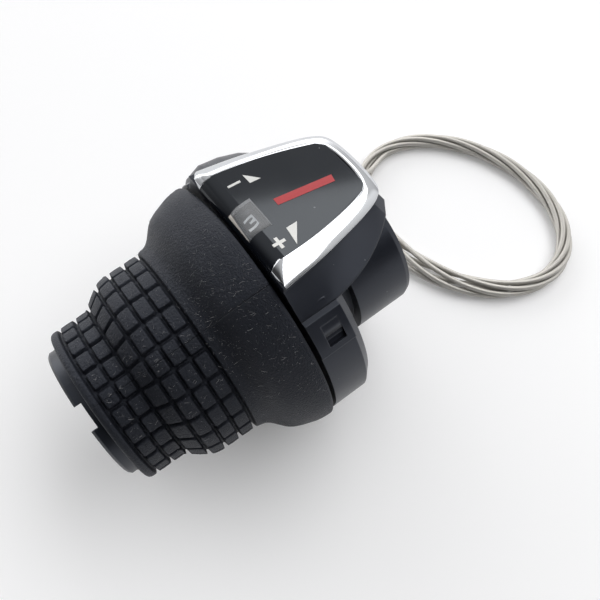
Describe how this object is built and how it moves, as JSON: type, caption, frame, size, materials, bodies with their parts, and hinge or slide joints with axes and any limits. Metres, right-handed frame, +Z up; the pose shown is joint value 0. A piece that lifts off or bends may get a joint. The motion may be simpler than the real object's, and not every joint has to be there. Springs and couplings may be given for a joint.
{
  "type": "twist grip shifter",
  "caption": "Left-hand bicycle twist grip shifter: block-tread rubber grip turns on a clamped housing with a gear display, and pulls a bare steel cable that lies coiled beside it.",
  "frame": {"origin": "on the handlebar's axis, in the parting between the grip's flared rim and the housing", "axes": "+X along the bar towards the middle of the bicycle, +Y forwards, +Z up, the way the display faces"},
  "size_m": [0.1227, 0.0616, 0.0544],
  "materials": {
    "grip_rubber": "matte",
    "black_plastic": "satin",
    "dial_plastic": "matte",
    "panel_gloss": "gloss",
    "clear_lens": "clear gloss",
    "bright_chrome": "polished",
    "cable_steel": "stranded wire",
    "plain_steel": "zinc",
    "guide_plastic": "matte"
  },
  "bodies": {
    "housing": {"base_housing": "black_plastic", "upper_cover": "black_plastic", "chrome_bezel": "bright_chrome", "display_panel": "panel_gloss", "window_lens": "clear_lens", "detent_spring": "plain_steel", "thrust_washer": "guide_plastic", "cable_guide": "guide_plastic", "cable_run": "cable_steel", "adjuster_spring": "plain_steel", "clamp_bolt": "plain_steel", "clamp_nut": "plain_steel", "cable_lead": "cable_steel", "cable_coil": "cable_steel"},
    "grip": {"grip_sleeve": "black_plastic", "rubber_grip": "grip_rubber", "number_ring": "dial_plastic", "cable_head": "plain_steel", "cable_wrap": "cable_steel"},
    "adjuster": {"barrel_adjuster": "black_plastic"}
  },
  "joints": [
    {"name": "grip_twist", "type": "hinge", "parent": "housing", "child": "grip", "pos_m": [0, 0, 0], "axis": [-1, 0, 0], "range_deg": [0, 80], "deforming": ["cable_wrap", "detent_spring"]},
    {"name": "adjuster_turn", "type": "hinge", "parent": "housing", "child": "adjuster", "pos_m": [0.0166, 0.02484, -0.00808], "axis": [1, 0, 0], "range_deg": [-360, 360]}
  ]
}
